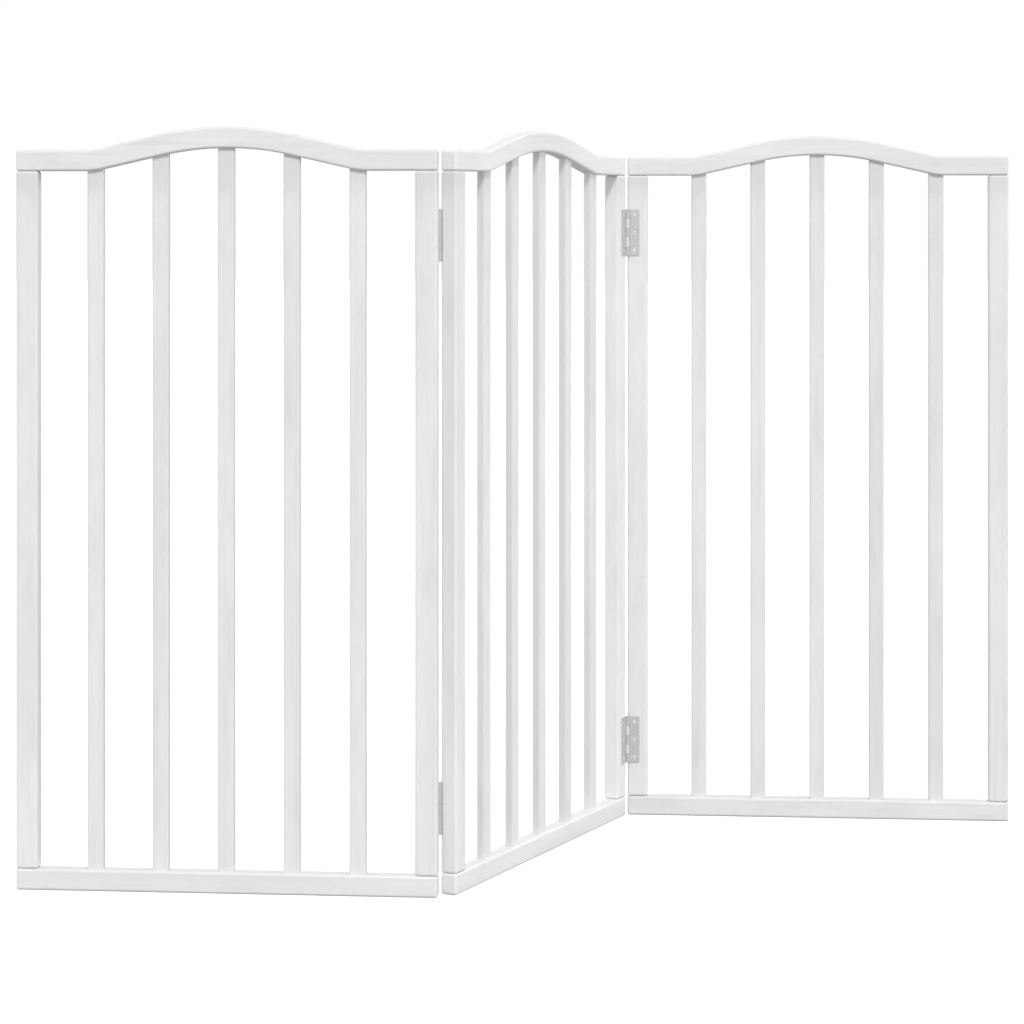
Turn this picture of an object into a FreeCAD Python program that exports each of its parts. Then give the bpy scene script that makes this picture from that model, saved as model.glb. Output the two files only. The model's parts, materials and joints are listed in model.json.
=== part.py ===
# Free-standing folding pet gate: three arched, slatted wooden panels joined by steel butt hinges.
#
# Each panel is a frame of two rails and two stiles, dowelled at the corners, with five slats glued into
# mortises in the rails. The left panel is hinged behind the middle one and the right panel in front of
# it, so the gate stands in a zigzag and folds flat.
#
# +X runs along the two outer panels, +Y to the back and +Z up. The origin is on the floor, under the
# centre of the middle panel. Millimetres and degrees.

import FreeCAD, Part

import math
import os
import re

import Sketcher

Placement = FreeCAD.Placement
Rotation = FreeCAD.Rotation
Vector = FreeCAD.Vector

DIMENSIONS = {
    # Whole panel
    "panel_width": 500,
    "flat_height": 873,  # top of the upper rail beside its arch
    "fold_angle": 69.2,  # turn at each pair of hinges, away from a straight line
    # Frame stock
    "rail_height": 25,
    "stile_width": 26,
    "frame_depth": 20,
    "frame_round": 3,
    # Arch, given by the rail's upper edge
    "arch_rise": 27,
    "arch_start": 82,
    "crown_radius": 372,
    "bend_radius": 70,
    # Slats
    "slat_count": 5,
    "slat_width": 19.5,
    "slat_depth": 10,
    "slat_round": 2,
    "mortise_depth": 8,
    # Corner dowels
    "dowel_radius": 4,
    "dowel_length": 36,
    "dowel_in_rail": 16,
    "dowel_chamfer": 0.8,
    # Hinges; each axis stands off the panels' faces, over the middle of the gap between two panels
    "hinge_length": 61,
    "hinge_inset": 70,
    "end_gap": 0.4,
    "axis_stand_off": 1.5,
    "leaf_width": 16,
    "leaf_thickness": 1.2,
    "leaf_corner": 1.2,
    "curl_slit": 0.25,
    "barrel_radius": 3.2,
    "pin_radius": 2,
    "pin_head_radius": 2.7,
    "pin_head_height": 0.6,
    "running_clearance": 0.05,
    "knuckle_count": 5,
    "knuckle_gap": 0.3,
    "notch_gap": 0.7,
    "relief_radius": 3.7,
    "relief_end": 1,
    # Hinge screws
    "screw_offset": 9.5,  # from the hinge's axis
    "screw_pitch": 23.5,
    "screw_length": 16,
    "screw_radius": 1.4,
    "screw_head_radius": 2.3,
    "screw_head_dome": 0.35,
    "screw_head_sink": 0.45,  # from the leaf's face down to the head's rim
    "screw_point": 4,
    "leaf_hole_radius": 1.7,
    "countersink": 1.1,
    "recess_depth": 1.2,
    "recess_span": 2.6,
    "recess_width": 0.6,
}

doc = FreeCAD.newDocument("pet_gate")
sheet = doc.addObject("Spreadsheet::Sheet", "Dimensions")
for row, (alias, value) in enumerate(DIMENSIONS.items(), start=1):
    sheet.set(f"A{row}", alias)
    sheet.set(f"B{row}", str(value))
    sheet.setAlias(f"B{row}", alias)
doc.recompute()

D = {alias: float(sheet.get(alias)) for alias in DIMENSIONS}
LEFT, RIGHT = -1, 1  # ends of a panel
FRONT, BACK = -1, 1  # faces of a panel
TINY = 0.01

sub_parts = []


# ------------------------------------------------------------------------------ shared sizes

STILE_LENGTH = "(flat_height - 2 * rail_height)"
STILE_CENTRE = "((panel_width - stile_width) / 2)"
UNDERSIDE = "(flat_height - rail_height)"
HINGE_SPACING = "(flat_height - 2 * hinge_inset - hinge_length)"
KNUCKLE = "(hinge_length / knuckle_count)"
SLAT_PITCH = (
    "((panel_width - 2 * stile_width - slat_count * slat_width) / (slat_count + 1) + slat_width)"
)
BEND_X = "(panel_width / 2 - arch_start)"
BEND_Z = "(flat_height + bend_radius)"
CROWN_Z = "(flat_height + arch_rise - crown_radius)"

# Heights of the mortises' roofs: over the middle slat, then one and two slats away from it.
MORTISE_ROOFS = [
    f"({CROWN_Z} + crown_radius - rail_height + mortise_depth)",
    f"({CROWN_Z} + sqrt((crown_radius - rail_height) ^ 2 - {SLAT_PITCH} ^ 2) + mortise_depth)",
    f"({BEND_Z} - sqrt((bend_radius + rail_height) ^ 2 - ({BEND_X} - 2 * {SLAT_PITCH}) ^ 2)"
    " + mortise_depth)",
]

stile_centre = (D["panel_width"] - D["stile_width"]) / 2
clear_width = D["panel_width"] - 2 * D["stile_width"] - D["slat_count"] * D["slat_width"]
slat_pitch = clear_width / (D["slat_count"] + 1) + D["slat_width"]
hinge_bottoms = (D["hinge_inset"], D["flat_height"] - D["hinge_inset"] - D["hinge_length"])


def with_cells(formula):
    """The formula as an expression, with each alias in it pointed at the sheet."""
    return re.sub(
        r"[a-z_]+",
        lambda word: f"Dimensions.{word[0]}" if word[0] in DIMENSIONS else word[0],
        formula,
    )


# ------------------------------------------------------------------------------ sketch helpers


def new_body(name):
    return doc.addObject("PartDesign::Body", name)


def new_sketch(body, name, plane, offset=None):
    """An empty sketch on one of the body's origin planes, moved along its normal by a formula."""
    sketch = body.newObject("Sketcher::SketchObject", name)
    support = next(f for f in body.Origin.OriginFeatures if f.Role == plane)
    sketch.AttachmentSupport = [(support, "")]
    sketch.MapMode = "FlatFace"
    if offset:
        sketch.setExpression("AttachmentOffset.Base.z", with_cells(offset))
    return sketch


def hold(sketch, kind, *items):
    return sketch.addConstraint(Sketcher.Constraint(kind, *items))


def size(sketch, kind, *items, formula):
    """A constraint whose value is bound to a formula."""
    index = hold(sketch, kind, *items)
    sketch.renameConstraint(index, f"size_{index}")
    sketch.setExpression(f"Constraints.size_{index}", with_cells(formula))


def hold_point(sketch, geometry, position, point, x_is=None, y_is=None):
    """Fixes a point of the sketch. With no formula for x or y, that one is zero."""
    if x_is:
        size(sketch, "DistanceX", -1, 1, geometry, position, point.x, formula=x_is)
    else:
        hold(sketch, "PointOnObject", geometry, position, -2)
    if y_is:
        size(sketch, "DistanceY", -1, 1, geometry, position, point.y, formula=y_is)
    else:
        hold(sketch, "PointOnObject", geometry, position, -1)


def join(sketch, *joints):
    """Makes pairs of ends meet. Each joint is a geometry and position, then another."""
    for joint in joints:
        hold(sketch, "Coincident", *joint)


def add_line(sketch, start, end):
    return sketch.addGeometry(Part.LineSegment(start, end), False)


def add_arc(sketch, centre, start, end):
    """An arc that runs anticlockwise from start to end."""
    first = math.atan2(start.y - centre.y, start.x - centre.x)
    last = math.atan2(end.y - centre.y, end.x - centre.x)
    circle = Part.Circle(centre, Vector(0, 0, 1), (start - centre).Length)
    return sketch.addGeometry(Part.ArcOfCircle(circle, first, last), False)


def add_loop(sketch, corners):
    """A closed chain of lines. Each starts at its own corner."""
    sides = [add_line(sketch, a, b) for a, b in zip(corners, corners[1:] + corners[:1])]
    join(sketch, *((a, 2, b, 1) for a, b in zip(sides, sides[1:] + sides[:1])))
    return sides


def add_circle(sketch, centre, radius, x_is=None, y_is=None):
    """A circle whose radius is the alias given."""
    circle = sketch.addGeometry(Part.Circle(centre, Vector(0, 0, 1), D[radius]), False)
    size(sketch, "Radius", circle, D[radius], formula=radius)
    hold_point(sketch, circle, 3, centre, x_is, y_is)


def add_rectangle(sketch, centre, width, height, width_is, height_is, x_is=None, y_is=None):
    half = Vector(width / 2, height / 2)
    other = Vector(width / 2, -height / 2)
    sides = add_loop(sketch, [centre - half, centre + other, centre + half, centre - other])
    for side, direction in zip(sides, ("Horizontal", "Vertical", "Horizontal", "Vertical")):
        hold(sketch, direction, side)
    size(sketch, "DistanceX", sides[0], 1, sides[0], 2, width, formula=width_is)
    size(sketch, "DistanceY", sides[1], 1, sides[1], 2, height, formula=height_is)
    middle_point = sketch.addGeometry(Part.Point(centre), True)
    hold(sketch, "Symmetric", sides[0], 1, sides[2], 1, middle_point, 1)
    hold_point(sketch, middle_point, 1, centre, x_is, y_is)


def add_section(sketch, width, depth, centre=Vector(), x_is=None):
    """A rectangle whose sides are the aliases given."""
    add_rectangle(sketch, centre, D[width], D[depth], width, depth, x_is)


# ------------------------------------------------------------------------------ feature helpers


def extrude(body, kind, sketch, length, symmetric):
    doc.recompute()
    feature = body.newObject(f"PartDesign::{kind}", kind)
    feature.Profile = sketch
    if symmetric:
        feature.SideType = "Symmetric"
    feature.setExpression("Length", with_cells(length))
    return feature


def pad(body, sketch, length, symmetric=False):
    feature = extrude(body, "Pad", sketch, length, symmetric)
    doc.recompute()
    return feature


def cut(body, sketch, depth, reverse=False, symmetric=False):
    """A pocket, which has to take material away."""
    feature = extrude(body, "Pocket", sketch, depth, symmetric)
    feature.Reversed = reverse
    doc.recompute()
    if feature.Shape.Volume > feature.BaseFeature.Shape.Volume - TINY:
        raise RuntimeError(f"{sketch.Label} of {body.Name} cuts nothing")
    return feature


def revolve(body, sketch):
    doc.recompute()
    feature = body.newObject("PartDesign::Revolution", "Revolution")
    feature.Profile = sketch
    feature.ReferenceAxis = (sketch, ["V_Axis"])
    feature.Angle = 360
    doc.recompute()
    return feature


def repeat(body, feature, sketch, axis, length, count):
    """Repeats a feature along one of its sketch's axes, evenly, up to a length away."""
    pattern = body.newObject("PartDesign::LinearPattern", "LinearPattern")
    pattern.Originals = [feature]
    pattern.Direction = (sketch, [axis])
    pattern.Mode = "Extent"
    pattern.setExpression("Length", with_cells(length))
    pattern.setExpression("Occurrences", with_cells(count))
    body.Tip = pattern
    doc.recompute()
    return pattern


def dress(body, kind, base, amount, chosen=lambda edge: True):
    """A Fillet or Chamfer on the chosen edges of base."""
    edges = [f"Edge{i}" for i, edge in enumerate(base.Shape.Edges, start=1) if chosen(edge)]
    feature = body.newObject(f"PartDesign::{kind}", kind)
    feature.Base = (base, edges)
    feature.setExpression("Radius" if kind == "Fillet" else "Size", with_cells(amount))
    doc.recompute()
    return feature


def runs_along(edge, direction):
    straight = isinstance(edge.Curve, Part.Line)
    return straight and abs(edge.Curve.Direction.dot(direction)) > 1 - TINY


def is_round(edge):
    return isinstance(edge.Curve, Part.Circle)


def keep(part, name, placement):
    part.Label = name
    part.Placement = placement
    sub_parts.append(part)


# ------------------------------------------------------------------------------ panels' frames


def axis_point(frame, end, face, height=0.0):
    """A point of the hinge axis at one end of a panel, off one of its faces."""
    x = end * (D["panel_width"] / 2 + D["end_gap"])
    y = face * (D["frame_depth"] / 2 + D["axis_stand_off"])
    return frame.multVec(Vector(x, y, height))


def outer_frame(end, face):
    """The frame of the panel that is hinged to the middle one at that end and face."""
    own_axis = axis_point(Placement(), -end, face)
    return Placement(axis_point(middle, end, face) - own_axis, Rotation())


# Each panel's own frame has x along the panel, y to its back and z up, from its centre on the floor.
middle = Placement(Vector(), Rotation(Vector(0, 0, 1), D["fold_angle"]))
PANELS = {
    "left_panel": outer_frame(LEFT, BACK),
    "middle_panel": middle,
    "right_panel": outer_frame(RIGHT, FRONT),
}
# The face that carries the hinges, at each hinged end of a panel.
HINGED_ENDS = {
    "left_panel": {RIGHT: BACK},
    "middle_panel": {LEFT: BACK, RIGHT: FRONT},
    "right_panel": {LEFT: FRONT},
}


def in_panel(panel, x=0.0, y=0.0, z=0.0, rotation=Rotation()):
    return PANELS[panel].multiply(Placement(Vector(x, y, z), rotation))


# ------------------------------------------------------------------------------ rails


def bore_for_dowels(body, height, reverse):
    """A blind hole over each stile, from a rail's face at the height given."""
    holes = new_sketch(body, "DowelHoles", "XY_Plane", height)
    for side in (LEFT, RIGHT):
        add_circle(holes, Vector(side * stile_centre, 0), "dowel_radius",
                   x_is=f"{side} * {STILE_CENTRE}")
    cut(body, holes, "dowel_in_rail", reverse)


def make_bottom_rail(panel):
    body = new_body(f"{panel}_bottom_rail")
    section = new_sketch(body, "Section", "XY_Plane")
    add_section(section, "panel_width", "frame_depth")
    dress(body, "Fillet", pad(body, section, "rail_height"), "frame_round")

    first = -slat_pitch * (D["slat_count"] - 1) / 2
    mortise = new_sketch(body, "Mortise", "XY_Plane", "rail_height")
    add_section(mortise, "slat_width", "slat_depth", Vector(first, 0),
                f"-1 * {SLAT_PITCH} * (slat_count - 1) / 2")
    pocket = cut(body, mortise, "mortise_depth")
    repeat(body, pocket, mortise, "H_Axis", f"{SLAT_PITCH} * (slat_count - 1)", "slat_count")
    bore_for_dowels(body, "rail_height", reverse=False)
    keep(body, body.Name, in_panel(panel))


def add_arched_edge(sketch, offset, bend_is, crown_is):
    """A long edge of the upper rail, lying offset below the rail's upper edge.

    From each end it runs flat, bends up and slopes to the crown. Returns the two flat lines, each of
    which starts at its end of the rail.
    """
    bend_radius = D["bend_radius"] + offset
    crown_radius = D["crown_radius"] - offset
    bend = Vector(D["arch_start"] - D["panel_width"] / 2, D["flat_height"] + D["bend_radius"])
    crown = Vector(0, D["flat_height"] + D["arch_rise"] - D["crown_radius"])
    apart = bend - crown
    slope = math.atan2(-apart.x, apart.y) - math.acos((bend_radius + crown_radius) / apart.Length)
    normal = Vector(-math.sin(slope), math.cos(slope))
    left_half = [
        Vector(-D["panel_width"] / 2, bend.y - bend_radius),
        Vector(bend.x, bend.y - bend_radius),
        bend - normal * bend_radius,
        crown + normal * crown_radius,
    ]
    right_half = [Vector(-point.x, point.y) for point in left_half]
    top = add_arc(sketch, crown, right_half[3], left_half[3])
    size(sketch, "Radius", top, crown_radius, formula=crown_is)
    hold_point(sketch, top, 3, crown, None, CROWN_Z)

    flats = []
    for side, points in ((LEFT, left_half), (RIGHT, right_half)):
        # Arcs run anticlockwise, so the two halves meet them the other way round.
        near, far = (1, 2) if side == LEFT else (2, 1)
        centre = Vector(-side * bend.x, bend.y)
        flat = add_line(sketch, points[0], points[1])
        arc = add_arc(sketch, centre, points[near], points[far])
        rise = add_line(sketch, points[2], points[3])
        hold(sketch, "Tangent", flat, 2, arc, near)
        hold(sketch, "Tangent", arc, far, rise, 1)
        hold(sketch, "Tangent", rise, 2, top, far)
        hold(sketch, "Horizontal", flat)
        size(sketch, "Radius", arc, bend_radius, formula=bend_is)
        hold_point(sketch, arc, 3, centre, f"{side} * {BEND_X}", BEND_Z)
        flats.append(flat)
    return flats


def make_top_rail(panel):
    body = new_body(f"{panel}_top_rail")
    profile = new_sketch(body, "Profile", "XZ_Plane")
    upper = add_arched_edge(profile, 0, "bend_radius", "crown_radius")
    lower = add_arched_edge(profile, D["rail_height"],
                            "bend_radius + rail_height", "crown_radius - rail_height")
    for side, above, below in zip((LEFT, RIGHT), upper, lower):
        x = side * D["panel_width"] / 2
        end = add_line(profile, Vector(x, D["flat_height"]),
                       Vector(x, D["flat_height"] - D["rail_height"]))
        join(profile, (end, 1, above, 1), (end, 2, below, 1))
        hold(profile, "Vertical", end)
        size(profile, "DistanceX", -1, 1, end, 1, x, formula=f"{side} * panel_width / 2")
    dress(body, "Fillet", pad(body, profile, "frame_depth", symmetric=True), "frame_round")

    for step, roof in enumerate(MORTISE_ROOFS):
        mortise = new_sketch(body, f"Mortise{step}", "XY_Plane", roof)
        for place in {-step, step}:
            add_section(mortise, "slat_width", "slat_depth", Vector(place * slat_pitch, 0),
                        f"{place} * {SLAT_PITCH}" if place else None)
        cut(body, mortise, "rail_height")
    bore_for_dowels(body, UNDERSIDE, reverse=True)
    keep(body, body.Name, in_panel(panel))


# ------------------------------------------------------------------------------ stiles and slats


def fit_for_hinges(body, side, face):
    """Relief for the hinge barrels down one corner of a stile, and pilot holes for the screws."""
    corner = Vector(side * (D["stile_width"] / 2 + D["end_gap"]),
                    face * (D["frame_depth"] / 2 + D["axis_stand_off"]))
    relief = new_sketch(body, "BarrelRelief", "XY_Plane", "hinge_inset - rail_height - relief_end")
    add_circle(relief, corner, "relief_radius",
               x_is=f"{side} * (stile_width / 2 + end_gap)",
               y_is=f"{face} * (frame_depth / 2 + axis_stand_off)")
    scallop = cut(body, relief, "hinge_length + 2 * relief_end", reverse=True)
    repeat(body, scallop, relief, "N_Axis", HINGE_SPACING, "2")

    # The XZ plane's normal is -Y.
    pilots = new_sketch(body, "PilotHoles", "XZ_Plane", f"{-face} * frame_depth / 2")
    across = side * (D["stile_width"] / 2 + D["end_gap"] - D["screw_offset"])
    centre = D["hinge_inset"] - D["rail_height"] + D["hinge_length"] / 2
    for step in (-1, 0, 1):
        add_circle(pilots, Vector(across, centre + step * D["screw_pitch"]), "screw_radius",
                   x_is=f"{side} * (stile_width / 2 + end_gap - screw_offset)",
                   y_is=f"hinge_inset - rail_height + hinge_length / 2 + {step} * screw_pitch")
    holes = cut(body, pilots, "screw_length - leaf_thickness", reverse=(face == BACK))
    repeat(body, holes, pilots, "V_Axis", HINGE_SPACING, "2")


def make_stile(panel, side):
    body = new_body(f"{panel}_{'left' if side == LEFT else 'right'}_stile")
    section = new_sketch(body, "Section", "XY_Plane")
    add_section(section, "stile_width", "frame_depth")
    dress(body, "Fillet", pad(body, section, STILE_LENGTH), "frame_round")
    for name, height, reverse in (("LowerDowel", None, True), ("UpperDowel", STILE_LENGTH, False)):
        hole = new_sketch(body, name, "XY_Plane", height)
        add_circle(hole, Vector(), "dowel_radius")
        cut(body, hole, "dowel_length - dowel_in_rail", reverse)
    if side in HINGED_ENDS[panel]:
        fit_for_hinges(body, side, HINGED_ENDS[panel][side])
    keep(body, body.Name, in_panel(panel, x=side * stile_centre, z=D["rail_height"]))


def make_slat(panel, number):
    body = new_body(f"{panel}_slat_{number}")
    step = number - (int(D["slat_count"]) + 1) // 2
    section = new_sketch(body, "Section", "XY_Plane")
    add_section(section, "slat_width", "slat_depth")
    blank = pad(body, section, f"{MORTISE_ROOFS[abs(step)]} - rail_height + mortise_depth")
    dress(body, "Fillet", blank, "slat_round", lambda edge: runs_along(edge, Vector(0, 0, 1)))
    foot = D["rail_height"] - D["mortise_depth"]
    keep(body, body.Name, in_panel(panel, x=step * slat_pitch, z=foot))


# ------------------------------------------------------------------------------ dowels and screws


def group(name, original, placements):
    """One node that holds the same piece several times, as separate solids."""
    links = []
    for placement in placements:
        link = doc.addObject("App::Link", f"{original.Name}_link")
        link.setLink(original)
        link.Placement = placement
        links.append(link)
    compound = doc.addObject("Part::Compound", name)
    compound.Links = links
    keep(compound, name, Placement())


def make_dowel():
    """A dowel that stands on the XY plane."""
    body = new_body("dowel")
    section = new_sketch(body, "Section", "XY_Plane")
    add_circle(section, Vector(), "dowel_radius")
    dress(body, "Chamfer", pad(body, section, "dowel_length"), "dowel_chamfer", is_round)
    return body


def place_dowels(panel, dowel):
    lower = D["rail_height"] - D["dowel_in_rail"]
    upper = D["flat_height"] - D["rail_height"] + D["dowel_in_rail"] - D["dowel_length"]
    places = [(side * stile_centre, z) for side in (LEFT, RIGHT) for z in (lower, upper)]
    group(f"{panel}_dowels", dowel, [in_panel(panel, x=x, z=z) for x, z in places])


def make_screw():
    """A raised countersunk screw with a cross recess. It points down, and its leaf's face is at z = 0."""
    body = new_body("hinge_screw")
    head, shank = D["screw_head_radius"], D["screw_radius"]
    rim, top = -D["screw_head_sink"], D["screw_head_dome"] - D["screw_head_sink"]
    dome = (head**2 + D["screw_head_dome"] ** 2) / (2 * D["screw_head_dome"])
    corners = [
        (Vector(0, top), None, "screw_head_dome - screw_head_sink"),
        (Vector(0, -D["screw_length"]), None, "-1 * screw_length"),
        (Vector(shank, D["screw_point"] - D["screw_length"]), "screw_radius",
         "screw_point - screw_length"),
        (Vector(shank, -D["leaf_thickness"]), "screw_radius", "-1 * leaf_thickness"),
        (Vector(head, rim), "screw_head_radius", "-1 * screw_head_sink"),
    ]
    profile = new_sketch(body, "Profile", "XZ_Plane")
    points = [point for point, _, _ in corners]
    outline = [add_line(profile, start, end) for start, end in zip(points, points[1:])]
    outline.append(add_arc(profile, Vector(0, top - dome), points[-1], points[0]))
    join(profile, *((a, 2, b, 1) for a, b in zip(outline, outline[1:] + outline[:1])))
    hold(profile, "PointOnObject", outline[-1], 3, -2)
    for side, (point, x_is, y_is) in zip(outline, corners):
        hold_point(profile, side, 1, point, x_is, y_is)
    revolve(body, profile)
    for width, depth in (("recess_span", "recess_width"), ("recess_width", "recess_span")):
        slot = new_sketch(body, "Slot", "XY_Plane")
        add_section(slot, width, depth)
        cut(body, slot, "recess_depth")
    return body


def place_screws(panel, screw):
    """Three screws in each leaf, each stopped at a turn of its own."""
    placements = []
    for end, face in HINGED_ENDS[panel].items():
        outward = Rotation(Vector(0, 0, 1), Vector(0, face, 0))
        x = end * (D["panel_width"] / 2 + D["end_gap"] - D["screw_offset"])
        y = face * (D["frame_depth"] / 2 + D["leaf_thickness"])
        for bottom in hinge_bottoms:
            for step in (-1, 0, 1):
                z = bottom + D["hinge_length"] / 2 + step * D["screw_pitch"]
                turn = Rotation(Vector(0, 0, 1), 12 + 37 * len(placements))
                placements.append(in_panel(panel, x, y, z, outward.multiply(turn)))
    group(f"{panel}_hinge_screws", screw, placements)


# ------------------------------------------------------------------------------ hinges


def make_leaf(name, placement, clearance, notches):
    """A leaf about the axis Z, with its plate towards +X and its screw heads facing +Y.

    clearance is the alias for the play on the pin, or None for a tight fit. notches are the knuckles
    that belong to the other leaf, counted up from 0.
    """
    body = new_body(name)
    bore = D["pin_radius"] + (D[clearance] if clearance else 0)
    outer = D["barrel_radius"]
    under = -D["axis_stand_off"]
    over = under + D["leaf_thickness"]
    lip = over + D["curl_slit"]
    corners = [
        Vector(D["leaf_width"], under),
        Vector(D["leaf_width"], over),
        Vector(math.sqrt(bore**2 - over**2), over),
        Vector(math.sqrt(bore**2 - lip**2), lip),
        Vector(math.sqrt(outer**2 - lip**2), lip),
        Vector(math.sqrt(outer**2 - under**2), under),
    ]
    profile = new_sketch(body, "Profile", "XY_Plane")
    edge = add_line(profile, corners[0], corners[1])
    front = add_line(profile, corners[1], corners[2])
    inside = add_arc(profile, Vector(), corners[3], corners[2])
    curl_end = add_line(profile, corners[3], corners[4])
    outside = add_arc(profile, Vector(), corners[4], corners[5])
    back = add_line(profile, corners[5], corners[0])
    join(profile, (edge, 2, front, 1), (front, 2, inside, 2), (inside, 1, curl_end, 1),
         (curl_end, 2, outside, 1), (outside, 2, back, 1), (back, 2, edge, 1),
         (inside, 3, -1, 1), (outside, 3, -1, 1))
    size(profile, "Radius", inside, bore,
         formula=f"pin_radius + {clearance}" if clearance else "pin_radius")
    size(profile, "Radius", outside, outer, formula="barrel_radius")
    hold(profile, "Vertical", edge)
    for line in (front, curl_end, back):
        hold(profile, "Horizontal", line)
    hold_point(profile, edge, 1, corners[0], "leaf_width", "-1 * axis_stand_off")
    size(profile, "DistanceY", -1, 1, edge, 2, over, formula="leaf_thickness - axis_stand_off")
    size(profile, "DistanceY", -1, 1, curl_end, 1, lip,
         formula="leaf_thickness - axis_stand_off + curl_slit")
    plate = pad(body, profile, "hinge_length")
    dress(body, "Fillet", plate, "leaf_corner",
          lambda edge: runs_along(edge, Vector(0, 1, 0)) and edge.CenterOfMass.x > outer + TINY)

    hole = new_sketch(body, "ScrewHole", "XZ_Plane", "axis_stand_off")
    low = D["hinge_length"] / 2 - D["screw_pitch"]
    add_circle(hole, Vector(D["screw_offset"], low), "leaf_hole_radius",
               x_is="screw_offset", y_is="hinge_length / 2 - screw_pitch")
    drilled = cut(body, hole, "leaf_thickness")
    drilled = repeat(body, drilled, hole, "V_Axis", "2 * screw_pitch", "3")
    dress(body, "Chamfer", drilled, "countersink",
          lambda edge: is_round(edge) and (edge.CenterOfMass - Vector(D["screw_offset"], over))
          .dot(Vector(1, 1, 0)) ** 2 < TINY)

    knuckle = D["hinge_length"] / D["knuckle_count"]
    swing = "(2 * (barrel_radius + notch_gap))"
    notch = new_sketch(body, "Notch", "XZ_Plane")
    add_rectangle(notch, Vector(0, (notches[0] + 0.5) * knuckle), 2 * (outer + D["notch_gap"]),
                  knuckle + D["knuckle_gap"], swing, f"{KNUCKLE} + knuckle_gap",
                  y_is=f"{notches[0] + 0.5} * {KNUCKLE}")
    slot = cut(body, notch, swing, symmetric=True)
    repeat(body, slot, notch, "V_Axis", f"{notches[-1] - notches[0]} * {KNUCKLE}",
           str(len(notches)))
    keep(body, name, placement)


def make_pin(name, placement):
    """A pin along Z with a low domed head at each end."""
    body = new_body(name)
    length, radius = D["hinge_length"], D["pin_radius"]
    head, rise = D["pin_head_radius"], D["pin_head_height"]
    dome = (head**2 + rise**2) / (2 * rise)
    foot, crown = Vector(0, -rise), Vector(0, length + rise)
    profile = new_sketch(body, "Profile", "XZ_Plane")
    axis = add_line(profile, crown, foot)
    lower_dome = add_arc(profile, Vector(0, dome - rise), foot, Vector(head, 0))
    lower_seat = add_line(profile, Vector(head, 0), Vector(radius, 0))
    shank = add_line(profile, Vector(radius, 0), Vector(radius, length))
    upper_seat = add_line(profile, Vector(radius, length), Vector(head, length))
    upper_dome = add_arc(profile, Vector(0, length + rise - dome), Vector(head, length), crown)
    outline = (axis, lower_dome, lower_seat, shank, upper_seat, upper_dome)
    join(profile, *((a, 2, b, 1) for a, b in zip(outline, outline[1:] + outline[:1])))
    for arc in (lower_dome, upper_dome):
        hold(profile, "PointOnObject", arc, 3, -2)
    hold_point(profile, axis, 1, crown, None, "hinge_length + pin_head_height")
    hold_point(profile, axis, 2, foot, None, "-1 * pin_head_height")
    hold_point(profile, lower_seat, 1, Vector(head, 0), "pin_head_radius", None)
    hold_point(profile, lower_seat, 2, Vector(radius, 0), "pin_radius", None)
    hold_point(profile, upper_seat, 1, Vector(radius, length), "pin_radius", "hinge_length")
    hold_point(profile, upper_seat, 2, Vector(head, length), "pin_head_radius", "hinge_length")
    revolve(body, profile)
    keep(body, name, placement)


def leaf_place(panel, end, face, bottom):
    """Turns a leaf so that its plate lies on its own panel's face."""
    upright = -end * face
    rotation = Rotation(Vector(-end, 0, 0), Vector(0, face, 0), Vector(0, 0, upright), "XYZ")
    start = bottom if upright > 0 else bottom + D["hinge_length"]
    point = axis_point(PANELS[panel], end, face, start)
    return Placement(point, PANELS[panel].Rotation.multiply(rotation))


def make_hinge(side, level, bottom):
    """The outer panel's leaf has the end knuckles and grips the pin. The middle one's turns on it."""
    name = f"{'left' if side == LEFT else 'right'}_{level}_hinge"
    outer_panel = "left_panel" if side == LEFT else "right_panel"
    face = HINGED_ENDS["middle_panel"][side]
    knuckles = range(int(D["knuckle_count"]))
    make_leaf(f"{name}_outer_leaf", leaf_place(outer_panel, -side, face, bottom),
              None, knuckles[1::2])
    make_leaf(f"{name}_middle_leaf", leaf_place("middle_panel", side, face, bottom),
              "running_clearance", knuckles[0::2])
    make_pin(f"{name}_pin", Placement(axis_point(middle, side, face, bottom), Rotation()))


# ------------------------------------------------------------------------------ assembly

dowel = make_dowel()
screw = make_screw()
for panel in PANELS:
    make_bottom_rail(panel)
    make_top_rail(panel)
    make_stile(panel, LEFT)
    make_stile(panel, RIGHT)
    for number in range(1, int(D["slat_count"]) + 1):
        make_slat(panel, number)
    place_dowels(panel, dowel)
    place_screws(panel, screw)
for side in (LEFT, RIGHT):
    for level, bottom in zip(("lower", "upper"), hinge_bottoms):
        make_hinge(side, level, bottom)
doc.recompute()

for item in doc.Objects:
    if {"Invalid", "Error"} & set(item.State):
        raise RuntimeError(f"{item.Label} did not build: {item.State}")
    if item.isDerivedFrom("Sketcher::SketchObject") and not item.FullyConstrained:
        raise RuntimeError(f"{item.Label} is not fully constrained")
for part in sub_parts:
    if part.Shape.isNull() or not part.Shape.isValid():
        raise RuntimeError(f"{part.Label} has no valid shape")

os.makedirs("parts", exist_ok=True)
for part in sub_parts:
    part.Shape.exportStep(f"parts/{part.Label}.step")
    box = part.Shape.BoundBox
    print(f"{part.Label}: {len(part.Shape.Solids)} solid(s), "
          f"{box.XLength:.1f} x {box.YLength:.1f} x {box.ZLength:.1f} mm")
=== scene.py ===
# The looks of a folding pet gate: whitewashed wood, small zinc-plated hinges, and a soft, bright studio.

import json
import math

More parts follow.
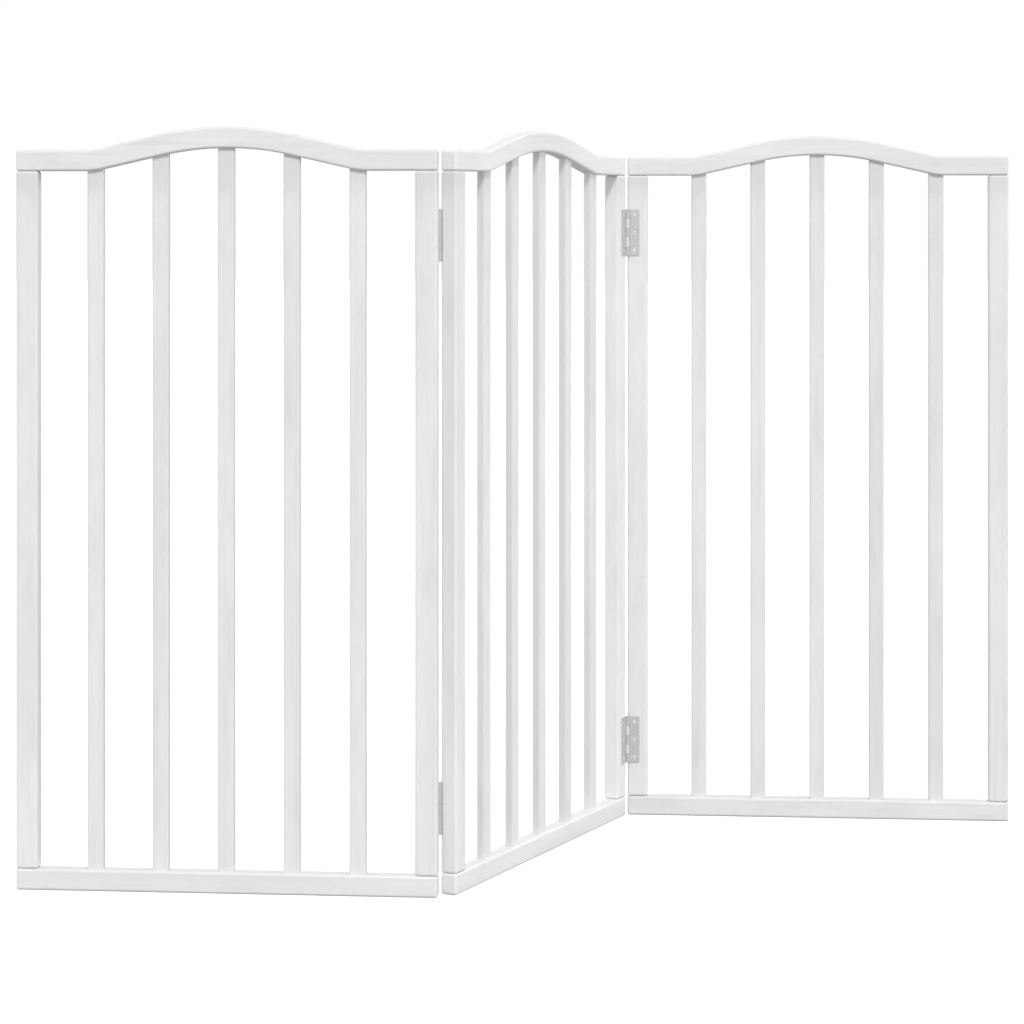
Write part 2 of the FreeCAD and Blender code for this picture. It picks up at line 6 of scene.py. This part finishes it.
import bpy
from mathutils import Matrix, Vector


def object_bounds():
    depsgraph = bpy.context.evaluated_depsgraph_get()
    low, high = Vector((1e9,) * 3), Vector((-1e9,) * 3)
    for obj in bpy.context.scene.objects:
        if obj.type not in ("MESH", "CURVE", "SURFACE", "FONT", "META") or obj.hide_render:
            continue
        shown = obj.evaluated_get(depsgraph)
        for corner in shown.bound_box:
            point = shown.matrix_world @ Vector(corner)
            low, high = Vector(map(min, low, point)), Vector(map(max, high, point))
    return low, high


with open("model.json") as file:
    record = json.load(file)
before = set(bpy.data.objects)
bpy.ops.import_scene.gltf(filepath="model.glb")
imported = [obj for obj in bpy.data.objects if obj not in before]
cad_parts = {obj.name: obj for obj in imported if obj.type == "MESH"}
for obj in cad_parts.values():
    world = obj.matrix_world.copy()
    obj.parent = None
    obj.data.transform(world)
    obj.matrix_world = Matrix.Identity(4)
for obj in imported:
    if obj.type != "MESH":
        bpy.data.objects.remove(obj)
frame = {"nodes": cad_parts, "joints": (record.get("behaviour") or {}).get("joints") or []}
cad_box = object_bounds()

MM = 0.001

# The stiles' tops, how far down from them the painted shade under the top rails reaches, and the right
# hinges' axis in X and Y
STILE_TOP = 848 * MM
UPPER_END = 45 * MM
RIGHT_HINGE_AXIS = (99.67 * MM, 230.0 * MM)

# The wood's grain runs along one of its panel's axes, by number
ALONG_RAIL = 0
UPRIGHT = 2

# How much darker than usual each kind of piece is on the outer and on the middle panels, and how strong the
# painted shade is over the uprights' upper ends under the top rails
OUTER_SHADES = {"rail": 0.26, "stile": 0.2, "slat": 0.32}
MIDDLE_SHADES = {"rail": -0.1, "stile": 0.0, "slat": 0.04}
UPPER_END_PAINTED_SHADE = 0.55
# How strong the painted shade on the slats' narrow faces is
SLAT_NARROW_PAINTED_SHADE = 0.6

# How far the middle panel is turned from the two outer ones, at rest
PANEL_TURN = -math.radians(frame["joints"][0]["range_deg"][0])

# Camera: level, so that uprights stay parallel
CAMERA_AT = Vector((0.2717, -3.5728, 0.7994))
CAMERA_TURN = math.radians(4.892)
LENS_MM = 100.82
SHIFT_Y = -0.2927

# Sky, as the brightness that a white surface would have in it
SKY_LEVEL = 1.0
SKY_ABOVE = 0.47
FLOOR_BOUNCE = 0.4

# Lamps: bearing clockwise from the front and height above level, in degrees, brightness and angular size
LAMPS = {
    "key": (10, 46, 0.58, 9),
    "right_fill": (74, 8, 0.31, 30),
    "left_fill": (-76, 8, 0.2, 30),
    "back_fill": (190, 8, 0.42, 30),
}


class Graph:
    """A material's or world's nodes. add() makes a node and joins or sets its inputs by name."""

    def __init__(self, tree):
        self.tree = tree
        tree.nodes.clear()

    def add(self, kind, inputs=None, **settings):
        node = self.tree.nodes.new("ShaderNode" + kind)
        for name, value in settings.items():
            setattr(node, name, value)
        for name, value in (inputs or {}).items():
            self.put(node.inputs[name], value)
        return node

    def put(self, socket, value):
        if isinstance(value, bpy.types.NodeSocket):
            self.tree.links.new(value, socket)
        else:
            socket.default_value = value

    def math(self, operation, first, second=0.0):
        return self.add("Math", {0: first, 1: second}, operation=operation).outputs["Value"]

    def ramp(self, value, low, high, to_low=0.0, to_high=1.0):
        node = self.add("MapRange", {"Value": value, "From Min": low, "From Max": high,
                                     "To Min": to_low, "To Max": to_high},
                        interpolation_type="SMOOTHSTEP")
        return node.outputs["Result"]

    def noise(self, vector, scale, detail=3.0, roughness=0.5, distortion=0.0):
        node = self.add("TexNoise", {"Vector": vector, "Scale": scale, "Detail": detail,
                                     "Roughness": roughness, "Distortion": distortion})
        return node.outputs["Fac"]

    def weigh(self, parts, start=0.0):
        """The start plus each part's value times its share. The parts' names are only there to be read."""
        total = start
        for value, share in parts.values():
            node = self.add("Math", {0: value, 1: share, 2: total}, operation="MULTIPLY_ADD")
            total = node.outputs["Value"]
        return total

    def mix(self, share, first, second):
        return self.add("Mix", {0: share, 6: first, 7: second}, data_type="RGBA").outputs[2]


def grey(level, warmth=0.0):
    return (level * (1 + warmth), level, level * (1 - warmth), 1.0)


THICK_WASH = grey(0.768)
# The darker wash, also used as the colour of the painted shade
THIN_WASH_AND_SHADE = grey(0.627, 0.004)
KNOT = grey(0.52, 0.02)


def new_material(name):
    material = bpy.data.materials.new(name)
    material.use_nodes = True
    return material, Graph(material.node_tree)


def stretched(graph, place, direction, shrink):
    """The place, squeezed along one axis so that a pattern on it is drawn out that way."""
    scale = [shrink if axis == direction else 1.0 for axis in range(3)]
    return graph.add("Mapping", {"Vector": place, "Scale": scale}).outputs["Vector"]


def finish_material(graph, colour, rough, bump, **inputs):
    """One glossy surface over the colour. The other inputs are the same all over it."""
    settings = {name.replace("_", " "): value for name, value in inputs.items()}
    shader = graph.add("BsdfPrincipled", {"Base Color": colour, "Roughness": rough,
                                          "Normal": bump.outputs["Normal"], **settings})
    graph.add("OutputMaterial", {"Surface": shader.outputs["BSDF"]})


def panel_normal(graph, normal, turn):
    """The surface's direction along each of its panel's own axes, as positive numbers."""
    unturned = graph.add("Mapping", {"Vector": normal, "Rotation": (0, 0, -turn)}, vector_type="VECTOR")
    parts = graph.add("SeparateXYZ", {"Vector": unturned.outputs["Vector"]})
    return [graph.math("ABSOLUTE", parts.outputs[axis]) for axis in "XYZ"]


def wood_grain(graph, place, direction):
    """The noises of planed wood, from broad bands of tone down to single fibres, and its late-wood rings."""
    rings = graph.add("TexWave", {"Vector": stretched(graph, place, direction, 0.07), "Scale": 32,
                                  "Distortion": 5.0, "Detail": 2.0, "Detail Scale": 1.2},
                      wave_type="RINGS", rings_direction="XYZ"[direction], wave_profile="SAW")
    return {"tone": graph.noise(stretched(graph, place, direction, 0.12), 22, 2),
            "blotch": graph.noise(stretched(graph, place, direction, 0.3), 45, 3, 0.55),
            "streak": graph.noise(stretched(graph, place, direction, 0.035), 170, 4, 0.6, 0.3),
            "fibre": graph.noise(stretched(graph, place, direction, 0.03), 1400, 3, 0.7),
            "speck": graph.noise(place, 900, 2, 0.6),
            "late_wood": graph.ramp(rings.outputs["Fac"], 0.62, 1.0)}


def wood_knots(graph, place, direction):
    """A few scattered knots and the darker grain round them."""
    cells = graph.add("TexVoronoi", {"Vector": stretched(graph, place, direction, 0.45), "Scale": 13,
                                     "Randomness": 1.0})
    chosen = graph.add("SeparateColor", {"Color": cells.outputs["Color"]})
    kept = graph.ramp(chosen.outputs["Red"], 0.72, 0.76)
    heart = graph.ramp(cells.outputs["Distance"], 0.035, 0.085, 1.0, 0.0)
    halo = graph.ramp(cells.outputs["Distance"], 0.05, 0.3, 1.0, 0.0)
    return graph.math("MULTIPLY", heart, kept), graph.math("MULTIPLY", halo, kept)


def rounded_edge(graph, facing):
    """One where no axis of the panel is square to the surface, which is where an edge is rounded."""
    squarest = graph.math("MAXIMUM", facing[0], graph.math("MAXIMUM", facing[1], facing[2]))
    return graph.ramp(squarest, 0.72, 0.93, 1.0, 0.0)


def narrow_face_painted_shade(graph, facing, position):
    """Painted shade: above zero on faces that point across the panel, and the most at the middle of the
    middle panel.
    """
    across = graph.ramp(facing[0], 0.15, 0.5)
    aside = graph.math("ABSOLUTE", position.outputs["X"])
    return graph.math("MULTIPLY", across, graph.ramp(aside, 0.0, 0.17, 2.0, 0.7))


def whitewashed_wood(name, direction, turn, whole_shade=0.0, narrow_painted_shade=0.0):
    """Planed softwood under a thin white wash. The grain runs along the axis numbered direction.

    It is darker all over by the whole_shade. The narrow faces get painted shade on top, about as strong as
    the last argument, and the uprights' upper ends get painted shade under the top rails.
    """
    material, graph = new_material(name)
    source = graph.add("TexCoord")
    unturned = graph.add("Mapping", {"Vector": source.outputs["Object"], "Rotation": (0, 0, -turn)})
    place = unturned.outputs["Vector"]
    position = graph.add("SeparateXYZ", {"Vector": place})
    facing = panel_normal(graph, source.outputs["Normal"], turn)
    grain = wood_grain(graph, place, direction)
    knot, knot_halo = wood_knots(graph, place, direction)
    worn_edge = graph.math("MULTIPLY", rounded_edge(graph, facing), graph.ramp(grain["speck"], 0.4, 0.62))
    # Painted shade under the top rails, on the uprights' upper ends
    end_painted_shade = UPPER_END_PAINTED_SHADE if direction == UPRIGHT else 0.0
    upper_end_painted_shade = graph.ramp(position.outputs["Z"], STILE_TOP - UPPER_END, STILE_TOP)

    # Grain, knots and worn edges thin the wash; the narrow faces and the upper ends get painted shade
    # towards the same darker colour
    thinness_and_painted_shade = graph.weigh({"tone": (graph.ramp(grain["tone"], 0.3, 0.7), 0.3),
                            "blotch": (graph.ramp(grain["blotch"], 0.42, 0.75), 0.28),
                            "streak": (graph.ramp(grain["streak"], 0.5, 0.75), 0.28),
                            "fibre": (graph.ramp(grain["fibre"], 0.5, 0.75), 0.16),
                            "late wood": (grain["late_wood"], 0.09),
                            "knots": (knot_halo, 0.25),
                            "edges": (worn_edge, 0.25),
                            "narrow faces": (narrow_face_painted_shade(graph, facing, position), narrow_painted_shade),
                            "upper ends": (upper_end_painted_shade, end_painted_shade)}, whole_shade)
    share = graph.add("Clamp", {"Value": thinness_and_painted_shade}).outputs["Result"]
    # The wash colour, with the painted shade of the narrow faces and upper ends mixed in
    wash = graph.mix(share, THICK_WASH, THIN_WASH_AND_SHADE)
    colour = graph.mix(graph.math("MULTIPLY", knot, 0.75), wash, KNOT)

    gloss = graph.weigh({"streak": (grain["streak"], 0.6), "fibre": (grain["fibre"], 0.4)})
    relief = graph.weigh({"fibre": (grain["fibre"], 0.6), "speck": (grain["speck"], 0.25),
                          "late wood": (grain["late_wood"], -0.35), "knots": (knot, -0.5)})
    bump = graph.add("Bump", {"Height": relief, "Strength": 0.35, "Distance": 0.25 * MM})
    finish_material(graph, colour, graph.ramp(gloss, 0.3, 0.7, 0.55, 0.7), bump, IOR=1.45,
                    Specular_IOR_Level=0.25)
    return material


def bare_beech():
    """The dowels, which nothing but the joints' insides ever shows."""
    material, graph = new_material("bare_beech")
    place = graph.add("TexCoord").outputs["Object"]
    fibre = graph.noise(stretched(graph, place, UPRIGHT, 0.06), 900, 4, 0.65)
    fleck = graph.noise(stretched(graph, place, UPRIGHT, 0.25), 1500, 2)
    colour = graph.mix(graph.ramp(fibre, 0.35, 0.7), (0.66, 0.46, 0.27, 1), (0.48, 0.30, 0.16, 1))
    colour = graph.mix(graph.ramp(fleck, 0.62, 0.72, 0.0, 0.5), colour, (0.33, 0.18, 0.09, 1))
    bump = graph.add("Bump", {"Height": fibre, "Strength": 0.4, "Distance": 0.2 * MM})
    finish_material(graph, colour, 0.62, bump)
    return material


def near_right_hinge_axis(graph, place):
    """One on the right hinges' knuckles and zero on their leaves."""
    parts = graph.add("SeparateXYZ", {"Vector": place})
    aside = graph.math("SUBTRACT", parts.outputs["X"], RIGHT_HINGE_AXIS[0])
    behind = graph.math("SUBTRACT", parts.outputs["Y"], RIGHT_HINGE_AXIS[1])
    square = graph.math("ADD", graph.math("POWER", aside, 2.0), graph.math("POWER", behind, 2.0))
    return graph.ramp(graph.math("SQRT", square), 3.3 * MM, 3.7 * MM, 1.0, 0.0)


def plated_steel(name, dull, bright, metal, rough_low, rough_high, rolled, highlight_strength=0.0):
    """Zinc-plated steel: a cloudy, slightly mottled plating, over fine rolling lines where there are any.

    The right hinges' knuckles get a painted highlight, as strong as the last argument.
    """
    material, graph = new_material(name)
    place = graph.add("TexCoord").outputs["Object"]
    cloud = graph.noise(place, 160, 4, 0.6)
    crystal = graph.add("TexVoronoi", {"Vector": place, "Scale": 620, "Randomness": 1.0})
    facet = graph.add("SeparateColor", {"Color": crystal.outputs["Color"]}).outputs["Red"]
    lines = graph.noise(stretched(graph, place, UPRIGHT, 0.02), 5200, 2, 0.6)
    pit = graph.noise(place, 3800, 2, 0.5)
    mottle = graph.weigh({"cloud": (cloud, 0.7), "facet": (facet, 0.3)})
    colour = graph.mix(graph.ramp(mottle, 0.25, 0.75), grey(dull, -0.004), grey(bright, -0.004))
    # Painted highlight on the right hinges' knuckles, mixed towards a light grey
    if highlight_strength:
        painted_highlight_mix = graph.math("MULTIPLY", near_right_hinge_axis(graph, place), highlight_strength)
        colour = graph.mix(painted_highlight_mix, colour, grey(0.88))
    gloss = graph.weigh({"mottle": (mottle, 0.7), "lines": (lines, 0.3)})
    rough = graph.ramp(gloss, 0.25, 0.75, rough_high, rough_low)
    height = graph.weigh({"lines": (lines, rolled), "pits": (pit, 0.5)})
    bump = graph.add("Bump", {"Height": height, "Strength": 0.25, "Distance": 0.06 * MM})
    finish_material(graph, colour, rough, bump, Metallic=metal)
    return material


def dress_nodes():
    """Gives every CAD node its material, the wood by its panel and the kind of piece."""
    steel = {"leaf": plated_steel("leaf_steel", 0.53, 0.63, 0.45, 0.38, 0.55, 0.6),
             # The right middle leaves' steel carries a painted highlight on its knuckles
             "painted_highlight_leaf": plated_steel("painted_highlight_leaf_steel", 0.54, 0.64, 0.45, 0.38, 0.55, 0.6, 0.6),
             "pin": plated_steel("pin_steel", 0.56, 0.68, 0.6, 0.28, 0.42, 0.1),
             "screws": plated_steel("screw_steel", 0.78, 0.88, 0.5, 0.3, 0.42, 0.1)}
    dowel = bare_beech()
    wood = {}
    for panel, turn, shades in (("outer", 0.0, OUTER_SHADES), ("middle", PANEL_TURN, MIDDLE_SHADES)):
        for kind, shade in shades.items():
            direction = ALONG_RAIL if kind == "rail" else UPRIGHT
            # Only the slats get painted shade on their narrow faces
            narrow_painted_shade = SLAT_NARROW_PAINTED_SHADE if kind == "slat" else 0.0
            wood[panel, kind] = whitewashed_wood(f"{panel}_{kind}_wood", direction, turn, shade,
                                                 narrow_painted_shade)
    for name, node in frame["nodes"].items():
        last = name.rsplit("_", 1)[-1]
        if name.startswith("right") and name.endswith("middle_leaf"):
            material = steel["painted_highlight_leaf"]
        elif last in steel:
            material = steel[last]
        elif last == "dowels":
            material = dowel
        else:
            kind = last if last in ("rail", "stile") else "slat"
            material = wood["middle" if name.startswith("middle") else "outer", kind]
        node.data.materials.clear()
        node.data.materials.append(material)


def make_world():
    """Light from all round, dimmer from above, and plain white where the camera looks past the floor."""
    world = bpy.data.worlds.new("studio")
    world.use_nodes = True
    graph = Graph(world.node_tree)
    bpy.context.scene.world = world
    direction = graph.add("TexCoord").outputs["Generated"]
    height = graph.add("SeparateXYZ", {"Vector": direction}).outputs["Z"]
    level = graph.ramp(height, 0.0, 1.0, SKY_LEVEL, SKY_ABOVE)
    seen = graph.add("LightPath").outputs["Is Camera Ray"]
    strength = graph.add("Mix", {0: seen, 2: level, 3: 1.0}, data_type="FLOAT").outputs[0]
    light = graph.add("Background", {"Color": grey(1.0), "Strength": strength})
    graph.add("OutputWorld", {"Surface": light.outputs["Background"]})


def make_floor():
    """A plain floor. It looks almost white, but throws little light back up, as a dim studio floor does."""
    bpy.ops.mesh.primitive_plane_add(size=60, location=(0, 0, cad_box[0].z - 0.2 * MM))
    floor = bpy.context.object
    floor.name = "floor"
    material, graph = new_material("pale_floor")
    place = graph.add("TexCoord").outputs["Object"]
    tone = graph.ramp(graph.noise(place, 3, 3), 0.3, 0.7, 0.53, 0.57)
    seen = graph.add("LightPath").outputs["Is Camera Ray"]
    level = graph.add("Mix", {0: seen, 2: FLOOR_BOUNCE, 3: tone}, data_type="FLOAT").outputs[0]
    colour = graph.add("CombineColor", {"Red": level, "Green": level, "Blue": level}).outputs["Color"]
    surface = graph.add("BsdfDiffuse", {"Color": colour}).outputs["BSDF"]
    glow = graph.add("Emission", {"Color": grey(1.0), "Strength": graph.math("MULTIPLY", seen, 0.65)})
    both = graph.add("AddShader", {0: surface, 1: glow.outputs["Emission"]})
    graph.add("OutputMaterial", {"Surface": both.outputs["Shader"]})
    floor.data.materials.append(material)


def add_lamp(name, bearing, height, level, spread):
    """A distant softbox. A white surface square to it gains that level of brightness."""
    data = bpy.data.lights.new(name, "SUN")
    data.angle = math.radians(spread)
    data.energy = math.pi * level
    lamp = bpy.data.objects.new(name, data)
    bpy.context.scene.collection.objects.link(lamp)
    lamp.rotation_euler = (math.radians(90 - height), 0, math.radians(bearing))
    lamp.visible_glossy = name == "key"


def make_lights():
    for name, settings in LAMPS.items():
        add_lamp(name, *settings)


def make_camera():
    data = bpy.data.cameras.new("camera")
    data.sensor_width = 36
    data.lens = LENS_MM
    data.shift_y = SHIFT_Y
    data.clip_end = 60
    camera = bpy.data.objects.new("camera", data)
    bpy.context.scene.collection.objects.link(camera)
    camera.location = CAMERA_AT
    camera.rotation_euler = (math.pi / 2, 0, CAMERA_TURN)
    bpy.context.scene.camera = camera


bpy.context.scene.view_settings.view_transform = "Standard"
dress_nodes()
make_world()
make_floor()
make_lights()
make_camera()
